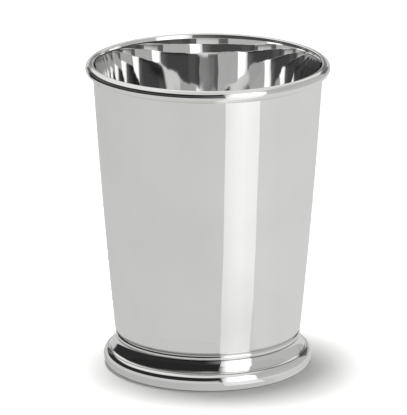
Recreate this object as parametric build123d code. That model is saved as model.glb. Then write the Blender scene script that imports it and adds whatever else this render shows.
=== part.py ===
# Julep cup: a tapered metal beaker with a half-round rim bead and a moulded ring foot.
# Millimetres, +Z up, the table at Z = 0, the axis of the cup on Z.
import math
import os
from build123d import *

# Overall sizes
cup_height = 101.6
rim_diameter = 79.2
foot_diameter = 68.3

# Body sheet
wall_thickness = 0.7
wall_belly = 0.42
heel_inside_radius = 0.5

# Rim bead, a half-round wire round the outside of the lip
rim_bead_diameter = 3.72
rim_bead_projection = 2.3

# Floor disc, resting on the shelf inside the heel
floor_thickness = 1.0
floor_clearance = 0.05

# Reed wire, a fine half-round between the body and the cove
reed_radius = 1.05

# Cove, a hollow flared collar between the reed and the foot bead
cove_height = 3.1
cove_setback = 0.35
cove_seat = 0.8
cove_hollow = 0.12

# Foot bead, a ring with a round outer edge and a flat ground on its underside
foot_bead_radius = 3.15
foot_bead_flat_depth = 0.1
foot_projection = 3.7
foot_ledge = 1.5

# Solder in the corners and under the edge of the rim bead
rim_solder_leg = 0.6
rim_solder_rise = 1.6
floor_solder_leg = 0.7
foot_solder_leg = 1.2
solder_hollow = 0.12


def arc_point(centre, radius, angle):
    # Point of a circle in the section plane, the angle in radians from the outward direction
    return (centre[0] + radius * math.cos(angle), centre[1] + radius * math.sin(angle))


def arc_through(start, end, dip):
    # Arc between two points, its middle moved by the dip to the left of the way from start to end
    middle = ((start[0] + end[0]) / 2, (start[1] + end[1]) / 2)
    way = math.atan2(end[1] - start[1], end[0] - start[0])
    return ThreePointArc(start, arc_point(middle, dip, way + math.pi / 2), end)


def loop(first, *points):
    # Closed section: one open run of edges and then straight lines back to its start
    corners = [first @ 1, *points, first @ 0]
    edges = first
    for start, end in zip(corners[:-1], corners[1:]):
        edges = edges + Line(start, end)
    return make_face(edges)


def disc(radius, centre):
    return Pos(centre[0], centre[1]) * Circle(radius)


def block(r_low, r_high, z_low, z_high):
    # Rectangle of the section plane between two radii and two heights
    middle = Pos((r_low + r_high) / 2, (z_low + z_high) / 2)
    return middle * Rectangle(r_high - r_low, z_high - z_low)


def turned(section):
    # The section plane's first axis is the radius, its second the height
    return revolve(Plane.XZ * section, Axis.Z)


# Centre of the foot bead's round, set so that the ground flat is at Z = 0
foot_centre = (foot_diameter / 2 - foot_bead_radius, foot_bead_radius - foot_bead_flat_depth)
foot_top = foot_centre[1] + foot_bead_radius

# Centre of the rim bead's round
rim_bead_radius = rim_bead_diameter / 2
rim_centre = (rim_diameter / 2 - rim_bead_radius, cup_height - rim_bead_radius)

# Outer face of the wall: a flat arc from the heel, above the foot's rings, to the height of the rim bead's centre
heel_radius = wall_thickness + heel_inside_radius
wall_top = (rim_diameter / 2 - rim_bead_projection, rim_centre[1])
wall_foot = (foot_diameter / 2 - foot_projection, foot_top + cove_height + 2 * reed_radius + heel_radius)
chord = math.dist(wall_top, wall_foot)
wall_radius = chord**2 / (8 * wall_belly) + wall_belly / 2
wall_middle = ((wall_top[0] + wall_foot[0]) / 2, (wall_top[1] + wall_foot[1]) / 2)
wall_angle = math.atan2(wall_top[1] - wall_foot[1], wall_top[0] - wall_foot[0]) - math.pi / 2
wall_centre = arc_point(wall_middle, wall_belly - wall_radius, wall_angle)
half_angle = math.asin(chord / (2 * wall_radius))
foot_angle = wall_angle - half_angle
lip_angle = wall_angle + half_angle + rim_bead_diameter / wall_radius

# Heel: a round under the wall that steps it in to the neck, which the foot's rings sit round
heel_centre = arc_point(wall_foot, -heel_radius, foot_angle)
heel_angle = (foot_angle - math.pi / 2) / 2
shoulder_height = heel_centre[1] - heel_radius
shelf_height = heel_centre[1] - heel_inside_radius
neck_radius = heel_centre[0]
neck_inner_radius = neck_radius - wall_thickness

# Centre of the reed's round, its top touching the shoulder
reed_centre = (neck_radius, shoulder_height - reed_radius)

rim_disc = disc(rim_bead_radius, rim_centre)
reed_disc = disc(reed_radius, reed_centre)


def wall_face(offset):
    # Wall and heel, moved inwards by an offset, from above the lip to the bottom of the heel
    lip = arc_point(wall_centre, wall_radius - offset, lip_angle)
    waist = arc_point(wall_centre, wall_radius - offset, wall_angle)
    foot = arc_point(wall_centre, wall_radius - offset, foot_angle)
    heel_waist = arc_point(heel_centre, heel_radius - offset, heel_angle)
    heel_end = arc_point(heel_centre, heel_radius - offset, -math.pi / 2)
    return ThreePointArc(lip, waist, foot) + ThreePointArc(foot, heel_waist, heel_end)


def wall_radius_at(height, offset):
    # Radius of the wall's face, moved inwards by an offset, at a height
    return wall_centre[0] + math.sqrt((wall_radius - offset) ** 2 - (height - wall_centre[1]) ** 2)


# Everything inside the outer face of the wall, and the space inside the sheet
above_lip = cup_height + rim_bead_diameter
envelope = loop(
    wall_face(0),
    (neck_radius, 0),
    (0, 0),
    (0, above_lip),
)
inside = loop(
    wall_face(wall_thickness),
    (neck_inner_radius, shelf_height),
    (neck_inner_radius, 0),
    (0, 0),
    (0, above_lip),
)
sheet = envelope - inside

# Body wall: the sheet, rounded over with the bead at the lip, its neck standing on the foot bead
below_lip = block(0, rim_diameter, foot_top, rim_centre[1])
body_wall = (sheet & below_lip) + (sheet & rim_disc)

# Floor disc
floor_radius = neck_radius - floor_clearance
floor_top = shelf_height + floor_thickness
floor_disc = block(0, floor_radius, shelf_height, floor_top)

# Reed wire: the half-round outside the neck
reed_wire = reed_disc - envelope

# Foot bead: the round edge and the flat ring inside it, cut off at the ground flat
foot_inner_radius = neck_inner_radius - foot_ledge
foot_ring = disc(foot_bead_radius, foot_centre) + block(foot_inner_radius, foot_centre[0], 0, foot_top)
foot_bead = foot_ring - block(0, foot_diameter, -foot_diameter, 0)

# Cove: a hollow arc from under the reed to the top of the foot bead
cove_top_land = reed_radius - cove_setback
cove_top = (neck_radius + cove_top_land, reed_centre[1] - math.sqrt(reed_radius**2 - cove_top_land**2))
cove_foot = (foot_centre[0] + cove_seat, foot_centre[1] + math.sqrt(foot_bead_radius**2 - cove_seat**2))
cove_blank = loop(
    arc_through(cove_foot, cove_top, cove_hollow),
    reed_centre,
    (neck_radius, foot_centre[1]),
    foot_centre,
)
foot_cove = cove_blank - reed_disc - foot_bead

# Solder under the rim bead: a fillet in the corner with the wall, and the seam behind the bead's lower edge
rim_reach = wall_top[0] - rim_centre[0] + rim_solder_leg
rim_solder_top = (rim_centre[0] + rim_reach, rim_centre[1] - math.sqrt(rim_bead_radius**2 - rim_reach**2))
rim_bead_foot_height = rim_centre[1] - rim_bead_radius
rim_solder_foot_height = rim_bead_foot_height - rim_solder_leg
rim_solder_foot = (wall_radius_at(rim_solder_foot_height, 0), rim_solder_foot_height)
rim_seam_height = rim_bead_foot_height + rim_solder_rise
rim_solder = loop(
    arc_through(rim_solder_foot, rim_solder_top, solder_hollow),
    (wall_radius_at(rim_seam_height, 0), rim_seam_height),
    (wall_top[0] - wall_thickness, rim_seam_height),
)
rim_solder = rim_solder - envelope

# Rim bead: the round wire with a flat back against the wall, its lower edge eased for the solder
rim_bead = rim_disc - envelope - rim_solder

# Solder round the floor disc, in the corner with the wall
floor_solder_height = floor_top + floor_solder_leg
floor_solder_top = (wall_radius_at(floor_solder_height, wall_thickness), floor_solder_height)
floor_solder_foot = (floor_radius - floor_solder_leg, floor_top)
floor_solder = loop(
    arc_through(floor_solder_foot, floor_solder_top, -solder_hollow),
    (wall_foot[0], floor_top),
    (wall_foot[0], shelf_height),
    (floor_solder_foot[0], shelf_height),
)
floor_solder = (floor_solder & inside) - floor_disc

# Solder inside the foot, in the corner between the neck and the foot bead's ledge
foot_corner = (neck_inner_radius, foot_top)
foot_solder_top = (neck_inner_radius, foot_top + foot_solder_leg)
foot_solder_foot = (neck_inner_radius - foot_solder_leg, foot_top)
foot_solder = loop(arc_through(foot_solder_top, foot_solder_foot, solder_hollow), foot_corner)

sections = {
    "body_wall": body_wall,
    "floor_disc": floor_disc,
    "rim_bead": rim_bead,
    "reed_wire": reed_wire,
    "foot_cove": foot_cove,
    "foot_bead": foot_bead,
    "rim_solder": rim_solder,
    "floor_solder": floor_solder,
    "foot_solder": foot_solder,
}

os.makedirs("parts", exist_ok=True)
for name, section in sections.items():
    export_step(turned(section), f"parts/{name}.step")
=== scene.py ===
import math

import bpy
import numpy as np
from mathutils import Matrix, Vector


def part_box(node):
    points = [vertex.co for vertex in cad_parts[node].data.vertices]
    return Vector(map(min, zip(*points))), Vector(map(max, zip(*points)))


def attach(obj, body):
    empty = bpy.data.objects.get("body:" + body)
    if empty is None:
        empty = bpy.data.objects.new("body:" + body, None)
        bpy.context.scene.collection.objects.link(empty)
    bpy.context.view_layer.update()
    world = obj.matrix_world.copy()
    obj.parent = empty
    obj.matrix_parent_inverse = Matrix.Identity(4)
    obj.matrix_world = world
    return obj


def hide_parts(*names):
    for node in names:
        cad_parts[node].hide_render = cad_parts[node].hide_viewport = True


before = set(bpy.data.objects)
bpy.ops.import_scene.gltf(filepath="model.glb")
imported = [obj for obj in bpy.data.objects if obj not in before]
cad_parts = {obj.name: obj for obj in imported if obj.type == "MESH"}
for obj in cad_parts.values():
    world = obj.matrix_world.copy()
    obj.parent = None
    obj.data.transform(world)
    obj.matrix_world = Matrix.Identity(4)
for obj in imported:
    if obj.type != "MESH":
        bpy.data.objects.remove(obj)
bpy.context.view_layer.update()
scene = bpy.context.scene
mm = 0.001


def linear(hexColour):
    # sRGB hex to linear light: c / 12.92 up to 0.04045, else ((c + 0.055) / 1.055) to the power 2.4
    c = np.array([int(hexColour[i:i + 2], 16) for i in (0, 2, 4)]) / 255
    return (*np.where(c <= 0.04045, c / 12.92, ((c + 0.055) / 1.055) ** 2.4).tolist(), 1.0)


def addNode(tree, kind, settings=None, values=None, links=None):
    # one node, with its settings, its socket values and the outputs that feed it
    node = tree.nodes.new(kind)
    for key, value in (settings or {}).items():
        setattr(node, key, value)
    for key, value in (values or {}).items():
        node.inputs[key].default_value = value
    for key, output in (links or {}).items():
        tree.links.new(output, node.inputs[key])
    return node


# outlines: runs of points in the section plane, (radius, height) in mm, each in so many steps

def arcRun(centre, radius, start, end, steps, crowd=1.0):
    # part of a circle: centre + radius (cos a, sin a), a from start to end in radians;
    # a crowd over 1 draws the steps together at the start, by that power
    a = start + (end - start) * np.linspace(0, 1, steps + 1) ** crowd
    return np.stack([centre[0] + radius * np.cos(a), centre[1] + radius * np.sin(a)], 1)


def bowRun(start, end, dip, steps):
    # a round bow between two points, its middle moved by the dip to the left of the way:
    # radius = chord^2 / 8 dip + dip / 2
    start, end = np.array(start), np.array(end)
    chord = np.hypot(*(end - start))
    way = (end - start) / chord
    left = np.array([-way[1], way[0]])
    radius = chord ** 2 / (8 * dip) + dip / 2
    a = np.linspace(-1, 1, steps + 1)[:, None] * np.arcsin(chord / (2 * radius))
    return (start + end) / 2 + left * (dip - radius) + radius * (np.sin(a) * way + np.cos(a) * left)


def lineRun(start, end, steps=1):
    # straight: start + s (end - start), s from 0 to 1
    s = np.linspace(0, 1, steps + 1)[:, None]
    return np.array(start) * (1 - s) + np.array(end) * s


def joined(first, second, ease=0.0, steps=6):
    # two runs as one; an ease cuts that length off both at their corner and rounds it:
    # (1 - s)^2 p + 2 s (1 - s) corner + s^2 q
    if ease == 0:
        return np.concatenate([first, second[1:]])
    halves = []
    for run in (first[::-1], second):
        far = np.concatenate([[0], np.cumsum(np.hypot(*np.diff(run, axis=0).T))])
        cut = np.array([[np.interp(ease, far, run[:, 0]), np.interp(ease, far, run[:, 1])]])
        halves.append(np.concatenate([cut, run[far > ease]]))
    s = np.linspace(0, 1, steps + 1)[1:-1, None]
    curve = (1 - s) ** 2 * halves[0][0] + 2 * s * (1 - s) * second[0] + s ** 2 * halves[1][0]
    return np.concatenate([halves[0][::-1], curve, halves[1]])


def crossing(centre, radius, otherCentre, otherRadius, side):
    # where two circles meet: along the line of centres by (d^2 + r^2 - R^2) / 2d, then square to it
    c, o = np.array(centre), np.array(otherCentre)
    d = np.hypot(*(o - c))
    along = (d ** 2 + radius ** 2 - otherRadius ** 2) / (2 * d)
    way = (o - c) / d
    return c + way * along + side * math.sqrt(radius ** 2 - along ** 2) * np.array([-way[1], way[0]])


def angleAt(centre, point):
    return math.atan2(point[1] - centre[1], point[0] - centre[0])


def outward(angle):
    # the section plane's unit vector at an angle
    return np.array([math.cos(angle), math.sin(angle)])


def turned(name, runs, rounds=360):
    # runs joined anticlockwise into an outline and carried round Z: x = r cos t, y = r sin t, z = h;
    # runs meet in sharp rings, and an outline that starts and ends on the axis is closed there by two poles
    outline = np.concatenate([run[:-1] for run in runs])
    corners = np.cumsum([0] + [len(run) - 1 for run in runs[:-1]])
    poles = outline[0, 0] == 0
    if poles:
        outline, corners = outline[1:], corners[1:] - 1
    count = len(outline)
    t = np.arange(rounds) * 2 * np.pi / rounds
    r, z = outline[:, :1], np.repeat(outline[:, 1:], rounds, 1)
    points = np.stack([r * np.cos(t), r * np.sin(t), z], -1).reshape(-1, 3)
    ring, on = np.arange(count)[:, None] * rounds, np.arange(rounds)
    here, there = ring + on, ring + (on + 1) % rounds
    ahead, beyond = np.roll(here, -1, 0), np.roll(there, -1, 0)
    faces = np.stack([here, there, beyond, ahead], -1)
    if poles:
        low, high = count * rounds, count * rounds + 1
        points = np.concatenate([points, [[0, 0, runs[0][0, 1]], [0, 0, runs[-1][-1, 1]]]])
        lowFan = [(low, b, a) for a, b in zip(here[0], there[0])]
        highFan = [(a, b, high) for a, b in zip(here[-1], there[-1])]
        faces = faces[:-1].reshape(-1, 4).tolist() + lowFan + highFan
    else:
        faces = faces.reshape(-1, 4).tolist()
    mesh = bpy.data.meshes.new(name)
    mesh.from_pydata((points * mm).tolist(), [], faces)
    mesh.polygons.foreach_set("use_smooth", np.ones(len(mesh.polygons), bool))
    ends = np.zeros(len(mesh.edges) * 2, np.int32)
    mesh.edges.foreach_get("vertices", ends)
    ends = ends.reshape(-1, 2) // rounds
    mesh.edges.foreach_set("use_edge_sharp", (ends[:, 0] == ends[:, 1]) & np.isin(ends[:, 0], corners))
    mesh.update()
    piece = bpy.data.objects.new(name, mesh)
    scene.collection.objects.link(piece)
    return piece


def seat(piece, node, material):
    # the piece rides with the cup, stands for its CAD node and takes the finish it is given
    piece.data.materials.append(material)
    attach(piece, "root")
    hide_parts(node)
    co = np.zeros(len(piece.data.vertices) * 3)
    piece.data.vertices.foreach_get("co", co)
    co = co.reshape(-1, 3)
    off = np.abs(np.array([co.min(0), co.max(0)]) - np.array([list(c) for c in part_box(node)])).max()
    print(f"{piece.name}: {len(piece.data.polygons)} faces, within {off / mm:.3f} mm of {node}'s box")


def newMaterial(name):
    # an empty node tree with its Principled shader, fed from the piece's own coordinates in millimetres
    material = bpy.data.materials.new(name)
    material.use_nodes = True
    tree = material.node_tree
    tree.nodes.clear()
    place = addNode(tree, "ShaderNodeTexCoord")
    inMm = addNode(tree, "ShaderNodeVectorMath", {"operation": "SCALE"}, {"Scale": 1 / mm},
                   {0: place.outputs["Object"]})
    shader = addNode(tree, "ShaderNodeBsdfPrincipled", values={"Metallic": 1.0})
    addNode(tree, "ShaderNodeOutputMaterial", links={"Surface": shader.outputs[0]})
    return material, tree, inMm.outputs[0], shader


def dress(tree, shader, colour, rough, bump):
    # a finish's colour, roughness and bump go to its shader
    for key, output in (("Base Color", colour), ("Roughness", rough), ("Normal", bump)):
        tree.links.new(output, shader.inputs[key])


# sterling silver, spun and buffed to a mirror: nearly white, with a faint haze of wear round the cup;
# corners are the dark lines of painted crease shade, with some tarnishing, (height, half width, how dark),
# lengths in mm
silverSet = dict(
    clean="fafafa", worn="f4f4f4", cloud=26, wear=(0.42, 0.78),
    streak=0.9, drawnOut=20, swirl=9, haze=(0.1, 0.5), rough=(0.01, 0.04),
    ripple=11, rippleDepth=0.03,
    # the dark colour and heights of the painted crease shade lines, with some tarnishing
    tarnishAndShade="5c5955", corners=[(11.35, 0.2, 0.35), (9.6, 0.4, 0.8), (5.72, 0.2, 0.75)],
)
polishedSilver, tree, inMm, shader = newMaterial("polishedSilver")
cloud = addNode(
    tree, "ShaderNodeTexNoise",
    values={"Scale": 1 / silverSet["cloud"], "Detail": 3.0, "Roughness": 0.55}, links={"Vector": inMm})
wear = addNode(
    tree, "ShaderNodeMapRange",
    values={"From Min": silverSet["wear"][0], "From Max": silverSet["wear"][1]},
    links={"Value": cloud.outputs[0]})
tint = addNode(
    tree, "ShaderNodeMix", {"data_type": "RGBA"},
    {6: linear(silverSet["clean"]), 7: linear(silverSet["worn"])}, {"Factor": wear.outputs[0]})
# fine dark lines, painted crease shade with some tarnishing: in the corners above and below the reed, where the
# wheel never quite reaches and shade falls, and one painted shade line drawn on the foot bead, where the
# photograph has the edge of the cove, outside the pieces' own joint
height = addNode(tree, "ShaderNodeSeparateXYZ", links={0: inMm}).outputs[2]
silver = tint.outputs[2]
for at, reach, depth in silverSet["corners"]:
    away = addNode(tree, "ShaderNodeMath", {"operation": "SUBTRACT"}, {1: at}, {0: height})
    away = addNode(tree, "ShaderNodeMath", {"operation": "ABSOLUTE"}, links={0: away.outputs[0]})
    line = addNode(
        tree, "ShaderNodeMapRange", {"interpolation_type": "SMOOTHSTEP"},
        {"From Min": reach, "From Max": 0.0, "To Max": depth}, {"Value": away.outputs[0]})
    # the silver mixed towards that dark along each line: painted shade
    shadedLine = addNode(
        tree, "ShaderNodeMix", {"data_type": "RGBA"},
        {7: linear(silverSet["tarnishAndShade"])}, {"Factor": line.outputs[0], 6: silver})
    silver = shadedLine.outputs[2]
# buffing marks: noise drawn out sideways, so it runs in level lines;
# a real mark is some 0.05 mm, drawn 0.9 mm to show
sideways = 1 / (silverSet["drawnOut"] * silverSet["streak"])
drawn = addNode(
    tree, "ShaderNodeMapping",
    values={"Scale": (sideways, sideways, 1 / silverSet["streak"])}, links={"Vector": inMm})
streak = addNode(
    tree, "ShaderNodeTexNoise",
    values={"Scale": 1.0, "Detail": 4.0, "Roughness": 0.7}, links={"Vector": drawn.outputs[0]})
swirl = addNode(
    tree, "ShaderNodeTexNoise",
    values={"Scale": 1 / silverSet["swirl"], "Detail": 5.0, "Roughness": 0.65}, links={"Vector": inMm})
haze = addNode(
    tree, "ShaderNodeMath", {"operation": "MULTIPLY"}, links={0: streak.outputs[0], 1: swirl.outputs[0]})
rough = addNode(
    tree, "ShaderNodeMapRange",
    values={"From Min": silverSet["haze"][0], "From Max": silverSet["haze"][1],
            "To Min": silverSet["rough"][0], "To Max": silverSet["rough"][1]},
    links={"Value": haze.outputs[0]})
# the sheet isn't quite true: shallow waves a centimetre long bend the edges of what it mirrors
wave = addNode(
    tree, "ShaderNodeTexNoise",
    values={"Scale": 1 / silverSet["ripple"], "Detail": 1.0, "Roughness": 0.4}, links={"Vector": inMm})
bump = addNode(
    tree, "ShaderNodeBump",
    values={"Strength": 1.0, "Distance": silverSet["rippleDepth"] * mm}, links={"Height": wave.outputs[0]})
dress(tree, shader, silver, rough.outputs[0], bump.outputs[0])

# the same silver, turned and left satin on the floor disc: rings that spread each reflection;
# a real one is some 0.1 mm, drawn 1.4 mm to show
satinSet = dict(light="f0f0ee", dark="e6e6e3", ring=1.4, ringDepth=0.007, cloud=18, rough=(0.2, 0.34))
satinSilver, tree, inMm, shader = newMaterial("satinSilver")
rings = addNode(
    tree, "ShaderNodeTexWave", {"wave_type": "RINGS", "rings_direction": "Z"},
    {"Scale": 2 * math.pi / (20 * satinSet["ring"]),  # a wave's length is 2 pi / (20 scale)
     "Distortion": 0.25, "Detail": 2.0, "Detail Scale": 0.6},
    {"Vector": inMm})
cloud = addNode(
    tree, "ShaderNodeTexNoise",
    values={"Scale": 1 / satinSet["cloud"], "Detail": 4.0, "Roughness": 0.6}, links={"Vector": inMm})
tint = addNode(
    tree, "ShaderNodeMix", {"data_type": "RGBA"},
    {6: linear(satinSet["light"]), 7: linear(satinSet["dark"])}, {"Factor": cloud.outputs[0]})
rough = addNode(
    tree, "ShaderNodeMapRange",
    values={"To Min": satinSet["rough"][0], "To Max": satinSet["rough"][1]},
    links={"Value": rings.outputs[0]})
bump = addNode(
    tree, "ShaderNodeBump",
    values={"Strength": 1.0, "Distance": satinSet["ringDepth"] * mm}, links={"Height": rings.outputs[0]})
dress(tree, shader, tint.outputs[2], rough.outputs[0], bump.outputs[0])

# silver solder, run in and wiped: a little greyer and warmer than the sheet, with a fine grain
solderLook = dict(light="f3f2ee", dark="e6e3dc", grain=0.8, grainDepth=0.008, rough=(0.03, 0.12))
silverSolder, tree, inMm, shader = newMaterial("silverSolder")
grain = addNode(
    tree, "ShaderNodeTexNoise",
    values={"Scale": 1 / solderLook["grain"], "Detail": 5.0, "Roughness": 0.6}, links={"Vector": inMm})
tint = addNode(
    tree, "ShaderNodeMix", {"data_type": "RGBA"},
    {6: linear(solderLook["light"]), 7: linear(solderLook["dark"])}, {"Factor": grain.outputs[0]})
rough = addNode(
    tree, "ShaderNodeMapRange",
    values={"To Min": solderLook["rough"][0], "To Max": solderLook["rough"][1]},
    links={"Value": grain.outputs[0]})
bump = addNode(
    tree, "ShaderNodeBump",
    values={"Strength": 1.0, "Distance": solderLook["grainDepth"] * mm}, links={"Height": grain.outputs[0]})
dress(tree, shader, tint.outputs[2], rough.outputs[0], bump.outputs[0])
print("finishes: polished silver, satin silver, silver solder")


# foot bead: a ring with a round outer edge, ground flat underneath
footSet = dict(across=68.3, bead=3.15, groundFlat=0.1, bodySetIn=3.7, ledge=1.5, edgeEase=0.15)
footCentre = (footSet["across"] / 2 - footSet["bead"], footSet["bead"] - footSet["groundFlat"])
footTop = footCentre[1] + footSet["bead"]

# cove and reed between the foot bead and the body
coveSet = dict(height=3.1, setback=0.35, seat=0.8, toe=0.69, brow=1.35, steps=40)
reedSet = dict(bead=1.05)

# rim bead: a half-round wire round the outside of the lip
rimSet = dict(across=79.2, top=101.6, wire=3.72, proud=2.3)
rimBend = rimSet["wire"] / 2
rimCentre = (rimSet["across"] / 2 - rimBend, rimSet["top"] - rimBend)

# body: one sheet, a flat arc in section, turned in at the heel to a neck;
# it is thinned inside by a bell curve (by, at, reach), and each lip spread is (by, deep, power)
bodySet = dict(
    sheet=0.7, belly=0.42, heelInside=0.5, lipEase=0.6, easeSteps=14,
    thinned=(0.17, 54.5, 22), lipSpread=[(0.25, 8.3, 2.1), (0.13, 1.4, 3)],
)
heelBend = bodySet["sheet"] + bodySet["heelInside"]
wallTop = np.array([rimSet["across"] / 2 - rimSet["proud"], rimCentre[1]])
wallFoot = np.array([
    footSet["across"] / 2 - footSet["bodySetIn"],
    footTop + coveSet["height"] + 2 * reedSet["bead"] + heelBend,
])
chord = np.hypot(*(wallTop - wallFoot))
wallBend = chord ** 2 / (8 * bodySet["belly"]) + bodySet["belly"] / 2
wallLean = angleAt(wallFoot, wallTop) - math.pi / 2
wallCentre = (wallTop + wallFoot) / 2 + (bodySet["belly"] - wallBend) * outward(wallLean)
footLean = wallLean - math.asin(chord / (2 * wallBend))
heelCentre = wallFoot - heelBend * outward(footLean)
neck = heelCentre[0]
neckInside = neck - bodySet["sheet"]
shoulder = heelCentre[1] - heelBend
shelf = heelCentre[1] - bodySet["heelInside"]
wallInside = wallBend - bodySet["sheet"]
lipOutside = crossing(rimCentre, rimBend, wallCentre, wallBend, -1)
lipInside = crossing(rimCentre, rimBend, wallCentre, wallInside, -1)


def wallPoint(height, bend):
    # the wall's circle at a height: r = centre + sqrt(bend^2 - (h - centre height)^2)
    return np.array([wallCentre[0] + math.sqrt(bend ** 2 - (height - wallCentre[1]) ** 2), height])


heelOutside = arcRun(heelCentre, heelBend, -math.pi / 2, footLean, 16)
wallOutside = arcRun(wallCentre, wallBend, footLean, angleAt(wallCentre, lipOutside), 48)
wallInner = arcRun(wallCentre, wallInside, angleAt(wallCentre, lipInside), footLean, 160, crowd=1.6)
# spun up, the sheet is a little thinner half way up;
# at the lip it is spread inside, twice, by the way up to a power
thinBy, thinAt, thinReach = bodySet["thinned"]
wallInner[:, 0] += thinBy * np.exp(-((wallInner[:, 1] - thinAt) / thinReach) ** 2)
for spread, deep, power in bodySet["lipSpread"]:
    wallInner[:, 0] += spread * np.clip((wallInner[:, 1] - lipInside[1]) / deep + 1, 0, 1) ** power
lipRound = arcRun(rimCentre, rimBend, angleAt(rimCentre, lipOutside), angleAt(rimCentre, wallInner[0]), 8)
wallInner[0] = lipRound[-1]
heelInner = arcRun(heelCentre, bodySet["heelInside"], footLean, -math.pi / 2, 10)
bodyWall = turned("bodyWall", [
    lineRun((neck, footTop), (neck, shoulder)),
    joined(heelOutside, wallOutside),
    joined(joined(lipRound, wallInner, bodySet["lipEase"], bodySet["easeSteps"]), heelInner),
    lineRun((neck, shelf), (neckInside, shelf)),
    lineRun((neckInside, shelf), (neckInside, footTop)),
    lineRun((neckInside, footTop), (neck, footTop)),
])
seat(bodyWall, "body_wall", polishedSilver)

# solder under the rim bead, and the seam behind the bead's lower edge
solderSet = dict(rimLeg=0.6, rimRise=1.6, floorLeg=0.7, footLeg=1.2, hollow=0.12)
rimReach = wallTop[0] - rimCentre[0] + solderSet["rimLeg"]
rimSolderTop = np.array([rimCentre[0] + rimReach, rimCentre[1] - math.sqrt(rimBend ** 2 - rimReach ** 2)])
rimSolderFoot = wallPoint(rimCentre[1] - rimBend - solderSet["rimLeg"], wallBend)
rimSeam = wallPoint(rimCentre[1] - rimBend + solderSet["rimRise"], wallBend)
rimBead = turned("rimBead", [
    arcRun(rimCentre, rimBend, angleAt(rimCentre, rimSolderTop), angleAt(rimCentre, lipOutside), 72),
    lineRun(lipOutside, rimSeam),
    lineRun(rimSeam, rimSolderTop),
])
seat(rimBead, "rim_bead", polishedSilver)
rimSolder = turned("rimSolder", [
    bowRun(rimSolderFoot, rimSolderTop, solderSet["hollow"], 12),
    lineRun(rimSolderTop, rimSeam),
    lineRun(rimSeam, rimSolderFoot),
])
seat(rimSolder, "rim_solder", silverSolder)

# reed: a fine half-round under the heel
reedCentre = (neck, shoulder - reedSet["bead"])
reedFoot = (neck, shoulder - 2 * reedSet["bead"])
reedWire = turned("reedWire", [
    arcRun(reedCentre, reedSet["bead"], -math.pi / 2, math.pi / 2, 40),
    lineRun((neck, shoulder), reedFoot),
])
seat(reedWire, "reed_wire", polishedSilver)

# cove: a hollow collar from under the reed to the foot bead
coveLand = reedSet["bead"] - coveSet["setback"]
coveTop = np.array([neck + coveLand, reedCentre[1] - math.sqrt(reedSet["bead"] ** 2 - coveLand ** 2)])
coveFoot = np.array([
    footCentre[0] + coveSet["seat"],
    footCentre[1] + math.sqrt(footSet["bead"] ** 2 - coveSet["seat"] ** 2),
])
# its face: straight from foot to top, hollowed square to that by s (1 - s) (toe + (brow - toe) s),
# so most under the reed
s = np.linspace(0, 1, coveSet["steps"] + 1)[:, None]
coveWay = coveTop - coveFoot
coveDip = s * (1 - s) * (coveSet["toe"] + (coveSet["brow"] - coveSet["toe"]) * s)
coveFace = coveFoot + s * coveWay + coveDip * np.array([-coveWay[1], coveWay[0]]) / np.hypot(*coveWay)
footCove = turned("footCove", [
    coveFace,
    arcRun(reedCentre, reedSet["bead"], angleAt(reedCentre, coveTop), -math.pi / 2, 10),
    lineRun(reedFoot, (neck, footTop)),
    lineRun((neck, footTop), (footCentre[0], footTop)),
    arcRun(footCentre, footSet["bead"], math.pi / 2, angleAt(footCentre, coveFoot), 6),
])
seat(footCove, "foot_cove", polishedSilver)

# the foot bead's outline: its round, the ledge inside, the bore and the sole, with eased edges inside
footInside = neckInside - footSet["ledge"]
soleEdge = footCentre[0] + math.sqrt(footSet["bead"] ** 2 - footCentre[1] ** 2)
footRound = arcRun(footCentre, footSet["bead"], angleAt(footCentre, (soleEdge, 0)), math.pi / 2, 72)
footLedge = lineRun((footCentre[0], footTop), (footInside, footTop))
footBore = lineRun((footInside, footTop), (footInside, 0))
footSole = lineRun((footInside, 0), (soleEdge, 0))
footHollow = joined(joined(footLedge, footBore, footSet["edgeEase"]), footSole, footSet["edgeEase"])
footBead = turned("footBead", [joined(footRound, footHollow)])
seat(footBead, "foot_bead", polishedSilver)

# solder inside the foot, in the corner of the neck and the ledge
footSolderTop = (neckInside, footTop + solderSet["footLeg"])
footSolderFoot = (neckInside - solderSet["footLeg"], footTop)
footSolder = turned("footSolder", [
    lineRun(footSolderFoot, (neckInside, footTop)),
    lineRun((neckInside, footTop), footSolderTop),
    bowRun(footSolderTop, footSolderFoot, solderSet["hollow"], 12),
])
seat(footSolder, "foot_solder", silverSolder)

# floor: a disc on the shelf, with solder round its edge
floorSet = dict(thick=1.0, clearance=0.05)
floorEdge = neck - floorSet["clearance"]
floorTop = shelf + floorSet["thick"]
floorDisc = turned("floorDisc", [
    lineRun((0, shelf), (floorEdge, shelf), 12),
    lineRun((floorEdge, shelf), (floorEdge, floorTop)),
    lineRun((floorEdge, floorTop), (0, floorTop), 40),
])
seat(floorDisc, "floor_disc", satinSilver)
floorSolderTop = wallPoint(floorTop + solderSet["floorLeg"], wallInside)
floorSolderFoot = np.array([floorEdge - solderSet["floorLeg"], floorTop])
floorSolder = turned("floorSolder", [
    lineRun((floorEdge, shelf), (neck, shelf)),
    joined(heelInner[::-1], arcRun(wallCentre, wallInside, footLean, angleAt(wallCentre, floorSolderTop), 4)),
    bowRun(floorSolderTop, floorSolderFoot, solderSet["hollow"], 12),
    lineRun(floorSolderFoot, (floorEdge, floorTop)),
    lineRun((floorEdge, floorTop), (floorEdge, shelf)),
])
seat(floorSolder, "floor_solder", silverSolder)


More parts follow.
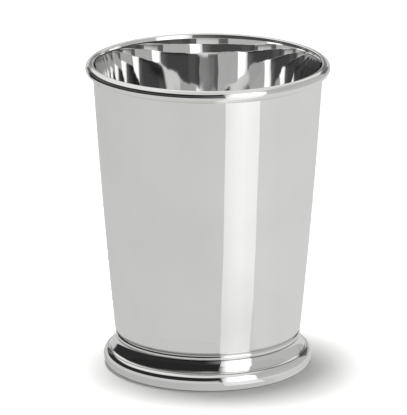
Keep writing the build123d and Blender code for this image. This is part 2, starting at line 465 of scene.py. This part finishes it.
# camera: at the photograph's place, a long lens looking a little down; focal length and width in pixels
cameraSet = dict(
    target=(-1.391, 0, 52.48), distance=1500, lookDown=16.143,
    focal=4597.27, wide=407, sensor=36,
)
cameraData = bpy.data.cameras.new("camera")
cameraData.sensor_fit, cameraData.sensor_width = "HORIZONTAL", cameraSet["sensor"]
cameraData.lens = cameraSet["focal"] / cameraSet["wide"] * cameraSet["sensor"]
camera = bpy.data.objects.new("camera", cameraData)
scene.collection.objects.link(camera)
lookDown = math.radians(cameraSet["lookDown"])
back = Vector((0, -math.cos(lookDown), math.sin(lookDown)))
camera.location = (Vector(cameraSet["target"]) + back * cameraSet["distance"]) * mm
camera.rotation_mode = "QUATERNION"
camera.rotation_quaternion = (-back).to_track_quat("-Z", "Y")
scene.camera = camera
scene.view_settings.view_transform = "Standard"
# light goes many times across the mirror inside
scene.cycles.max_bounces, scene.cycles.glossy_bounces = 24, 20


# studio: a pale floor, a soft lamp that lights it, and cards that only the polished metal sees

def gridPiece(name, points, material, fade=None):
    # a sheet through a grid of points, with an optional fade value at each
    rows, columns = points.shape[:2]
    i, j = np.meshgrid(np.arange(rows - 1), np.arange(columns - 1), indexing="ij")
    at = i * columns + j
    faces = np.stack([at, at + columns, at + columns + 1, at + 1], -1).reshape(-1, 4)
    mesh = bpy.data.meshes.new(name)
    mesh.from_pydata((points.reshape(-1, 3) * mm).tolist(), [], faces.tolist())
    if fade is not None:
        values = mesh.attributes.new("fade", "FLOAT", "POINT").data
        values.foreach_set("value", fade.ravel().astype(np.float32))
    mesh.materials.append(material)
    piece = bpy.data.objects.new(name, mesh)
    scene.collection.objects.link(piece)
    return piece


cardSet = dict(white="fefffd", steps=64, centre=(0, 0, 50))


def glowCard(name, glow):
    # a card gives off its glow times the fade value, and lets what is behind through for the rest
    material = bpy.data.materials.new(name)
    material.use_nodes = True
    tree = material.node_tree
    tree.nodes.clear()
    fade = addNode(tree, "ShaderNodeAttribute", {"attribute_name": "fade"})
    light = addNode(tree, "ShaderNodeEmission", values={"Color": linear(cardSet["white"]), "Strength": glow})
    clear = addNode(tree, "ShaderNodeBsdfTransparent")
    mixed = addNode(
        tree, "ShaderNodeMixShader", links={0: fade.outputs["Fac"], 1: clear.outputs[0], 2: light.outputs[0]})
    addNode(tree, "ShaderNodeOutputMaterial", links={"Surface": mixed.outputs[0]})
    return material


def metalSheet(name, points, glow, fade):
    # a glowing sheet that is seen in the metal, and by nothing else
    piece = gridPiece(name, points, glowCard(name, glow), fade)
    piece.visible_camera = piece.visible_diffuse = piece.visible_shadow = False
    piece.visible_transmission = piece.visible_volume_scatter = False


def card(name, azimuth, low, high, glow, far=1000, soft=(0, 0, 0, 0), least=0.0, lean=0):
    # part of a sphere round the cup, far (sin a cos e, -cos a cos e, sin e),
    # its low edge a run of elevations from left to right;
    # over the soft degrees it falls off to its least at the left and right, and to nothing at the low and high;
    # a lean carries the right edge out by that many degrees times the cube of the way up
    count = cardSet["steps"] + 1
    a, v = np.meshgrid(np.linspace(*azimuth, count), np.linspace(0, 1, count), indexing="ij")
    edge = np.interp(a, np.linspace(*azimuth, len(low)), low)
    h = edge + (high - edge) * v
    sides = [a - azimuth[0], azimuth[1] - a, h - edge, high - h]
    left, right, under, over = [np.clip(s / w, 0, 1) if w else np.ones_like(s) for s, w in zip(sides, soft)]
    fade = (least + (1 - least) * left * right) * (under * over) ** 2 * (3 - 2 * under * over)
    turn, rise = np.radians(a + lean * sides[0] / (azimuth[1] - azimuth[0]) * v ** 3), np.radians(h)
    way = np.stack([np.sin(turn) * np.cos(rise), -np.cos(turn) * np.cos(rise), np.sin(rise)], -1)
    metalSheet(name, way * far + cardSet["centre"], glow, fade)


# azimuth 0 is towards the camera, positive to the right; angles in degrees, far in mm, and nearer covers farther;
# each row is azimuth, low edge, high edge, glow, far, soft (left, right, low, high), least, lean
card("darkRoom", (-180, 180), (-30, -30), 90, 0.02, 1500)
card("darkLow", (-180, 180), (-30, -30), 23, 0.065, 1490, (0, 0, 0, 4))
card("darkSide", (-137, -94), (-30, -30), 24, 0.095, 1480, (12, 12, 0, 3))
card("frontLow", (-14, 16), (-20, -20), 31, 0.18, 1470, (30, 0, 0, 18))
card("keyBox", (16, 54.7), (-4, -4), 36, 1.5, 1000, (12, 3, 0, 0), 0.38, 7)
card("keyUpper", (15, 61.7), (35.9, 35.9), 60, 1.4, 1001, (14, 3, 0, 14), 0, 4)
card("sideWall", (54, 140), (-15, -15), 28, 0.49, 1100, (0, 2, 0, 5))
card("sideUpper", (54, 150), (22, 22), 54, 0.46, 1120, (0, 4, 4, 0))
card("gapGrey", (138, 158), (-15, -15), 24, 0.118, 1160)
card("backEdge", (203, 216), (-15, -15), 16, 0.12, 1160)
card("gapLow", (138, 158), (-15, -15), 8, 0.46, 1155, (0, 2, 0, 3))
card("backGlow", (153, 215), (-15, -15, -15, -15, 16, 16), 25, 0.31, 1150, (62, 2, 0, 4), 0.265)
card("backMid", (157.5, 203), (-15, -15), 18, 0.68, 1145, (30, 0, 0, 9), 0.8)
card("backLow", (158, 218), (-15, -15), 5, 0.52, 1140, (2, 2, 0, 3))
card("topBox", (-180, 180), (50, 50), 90, 0.6, 900, (0, 0, 6, 0))
card("topRight", (22, 120), (55, 55), 84, 0.78, 895, (15, 15, 6, 10))
card("backBox", (138, 182), (24, 20), 80, 0.77, 890, (8, 0, 6, 16))
card("tent", (-180, 16), (17, 19, 27, 38, 46, 50, 50), 80, 0.8, 880, (0, 120, 6, 16), 0.55)


def roundSheet(name, a, r, z, fade, glow=1.0):
    # a sheet round the cup's axis: (r sin a, -r cos a, z), a in degrees
    a = np.radians(a)
    points = np.stack(np.broadcast_arrays(r * np.sin(a), -r * np.cos(a), z), -1)
    metalSheet(name, points, glow, np.broadcast_to(fade, a.shape))


# the table top as glowing tones over black, by azimuth: dimmer far off to the right, with a painted shadow of the
# cup close to the foot, and cut off short in front and to the left
tableSet = dict(
    toneAt=(-180, -150, -60, -10, 16, 40, 47, 60, 75, 150, 180),
    tones=(0.6, 0.568, 0.594, 0.6, 0.617, 0.622, 0.675, 0.675, 0.657, 0.643, 0.6),
    farFrom=330, farOver=300, farDim=0.15, farRightOf=54,
    nearTo=50, nearOver=8, nearAt=(-20, 60), nearDim=(0.12, 0.04),
    cutLeft=-142, cutRight=16, cutAt=338, cutTone=0.04,
)
# rings in mm, closer together near the cup
radii = np.concatenate([np.linspace(0, 118, 60), np.linspace(120, 480, 91), np.linspace(500, 1490, 34)])
a, r = np.meshgrid(np.linspace(-180, 180, 361), radii, indexing="ij")
tone = np.interp(a, tableSet["toneAt"], tableSet["tones"])
farOff = np.clip((r - tableSet["farFrom"]) / tableSet["farOver"], 0, 1) * (a > tableSet["farRightOf"])
# the painted shadow round the foot, deeper towards the left than the right
footShadowMask = np.clip((tableSet["nearTo"] - r) / tableSet["nearOver"], 0, 1)
tone -= tableSet["farDim"] * farOff + np.interp(a, tableSet["nearAt"], tableSet["nearDim"]) * footShadowMask
cutOff = (a > tableSet["cutLeft"]) & (a < tableSet["cutRight"]) & (r > tableSet["cutAt"])
tone = np.where(cutOff, tableSet["cutTone"], tone)
coarse = np.s_[::5, ::23]
roundSheet("tableGround", a[coarse], r[coarse], 0.1, 1.0, 0.0)
roundSheet("tableTop", a, r, 0.2, tone)

# the key light's gleam on it, between two edges that draw in towards the cup
gleamSet = dict(
    edgeAt=(40, 68, 91, 131, 250), left=(10, 12.3, 13.5, 15.5, 17), right=(36, 42.8, 46.8, 49.3, 51.4),
    acrossAt=(0, 0.1, 0.32, 0.54, 0.78, 1), across=(0.66, 0.75, 0.92, 1, 0.89, 0.8),
    outAt=(40, 68, 91, 130, 180, 230), out=(0.72, 0.55, 0.68, 0.85, 0.87, 0.97),
)
v, r = np.meshgrid(np.linspace(0, 1, 39), radii[18:], indexing="ij")
left, right = [np.interp(r, gleamSet["edgeAt"], gleamSet[side]) for side in ("left", "right")]
gleam = np.interp(v, gleamSet["acrossAt"], gleamSet["across"])
gleam *= np.interp(r, gleamSet["outAt"], gleamSet["out"])
roundSheet("keyGleam", left + (right - left) * v, r, 0.3, gleam)

# a low strip nearly as light as the table stands upright round the foot, from behind at the left to the front
riseSet = dict(azimuth=(-165, 10.5), radius=47, foot=0.2, height=7.1, runOut=3.5, glow=0.585)
a, v = np.meshgrid(np.linspace(*riseSet["azimuth"], 352), np.linspace(0, 1, 9), indexing="ij")
rise = riseSet["height"] * v * np.clip((riseSet["azimuth"][1] - a) / riseSet["runOut"], 0, 1)
roundSheet("tableRise", a, riseSet["radius"], riseSet["foot"] + rise, 1.0, riseSet["glow"])

# a dark card low in front, which leans in from the table's edge and stays under the rim
darkSet = dict(azimuth=(-142, 10), soft=(6, 14), radius=345, leanIn=130, foot=0.4, height=98, glow=0.025)
a, v = np.meshgrid(np.linspace(*darkSet["azimuth"], 153), np.linspace(0, 1, 9), indexing="ij")
leftSoft = np.clip((a - darkSet["azimuth"][0]) / darkSet["soft"][0], 0, 1)
rightSoft = np.clip((darkSet["azimuth"][1] - a) / darkSet["soft"][1], 0, 1)
roundSheet("darkFront", a, darkSet["radius"] - darkSet["leanIn"] * v, darkSet["foot"] + darkSet["height"] * v,
           leftSoft * rightSoft, darkSet["glow"])

# the floor: matt white paper
paperSet = dict(white="f8f8f7", rough=0.8, gloss=0.1, reach=4000)
floorPaper = bpy.data.materials.new("floorPaper")
floorPaper.use_nodes = True
paper = floorPaper.node_tree.nodes["Principled BSDF"].inputs
paper["Base Color"].default_value = linear(paperSet["white"])
paper["Roughness"].default_value = paperSet["rough"]
paper["Specular IOR Level"].default_value = paperSet["gloss"]
edge = np.linspace(-paperSet["reach"], paperSet["reach"], 9)
x, y = np.meshgrid(edge, edge, indexing="ij")
gridPiece("floor", np.stack([x, y, np.zeros_like(x)], -1), floorPaper)

# the lamp, nearly overhead, which the metal doesn't see
lampSet = dict(place=(-210, 240, 4000), size=1.1, watts=184)
lampData = bpy.data.lights.new("softLamp", "AREA")
lampData.size, lampData.energy = lampSet["size"], lampSet["watts"]
lamp = bpy.data.objects.new("softLamp", lampData)
scene.collection.objects.link(lamp)
lamp.location = Vector(lampSet["place"]) * mm
lamp.rotation_mode = "QUATERNION"
lamp.rotation_quaternion = (-lamp.location).to_track_quat("-Z", "Y")
lamp.visible_camera = lamp.visible_glossy = False

# the world: a faint fill, and white to the camera and to what mirrors it or shows it through
worldSet = dict(fill=0.3, seen=1.0)
world = bpy.data.worlds.new("studio")
scene.world = world
world.use_nodes = True
tree = world.node_tree
tree.nodes.clear()
path = addNode(tree, "ShaderNodeLightPath")
seen = path.outputs["Is Camera Ray"]
for ray in ("Is Glossy Ray", "Is Transmission Ray"):
    either = addNode(tree, "ShaderNodeMath", {"operation": "MAXIMUM"}, links={0: seen, 1: path.outputs[ray]})
    seen = either.outputs[0]
fill = addNode(
    tree, "ShaderNodeMapRange",
    values={"To Min": worldSet["fill"], "To Max": worldSet["seen"]}, links={"Value": seen})
sky = addNode(tree, "ShaderNodeBackground", links={"Strength": fill.outputs[0]})
addNode(tree, "ShaderNodeOutputWorld", links={"Surface": sky.outputs[0]})
print("studio: floor, lamp and cards")
